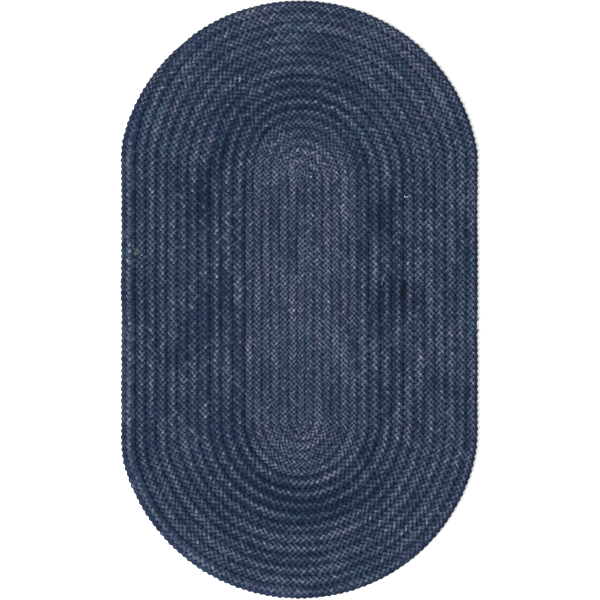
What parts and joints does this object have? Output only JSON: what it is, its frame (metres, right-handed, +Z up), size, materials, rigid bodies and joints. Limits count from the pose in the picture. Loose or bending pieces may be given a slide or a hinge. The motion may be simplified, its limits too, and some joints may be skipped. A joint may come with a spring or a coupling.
{
  "type": "braided rug",
  "caption": "Flat oval rug wound edge to edge from a thick jute plait, with raised rounded rows on top and a flat underside.",
  "frame": {"origin": "centre of the flat underside, on the floor", "axes": "+Y along the rug's length, +X across its width, +Z up out of the ridged top face"},
  "size_m": [0.9092, 1.524, 0.0104],
  "materials": {
    "slate_jute": "matt plaited jute in heathered slate blue"
  },
  "bodies": {
    "root": {"braided_rug": "slate_jute"}
  },
  "joints": []
}
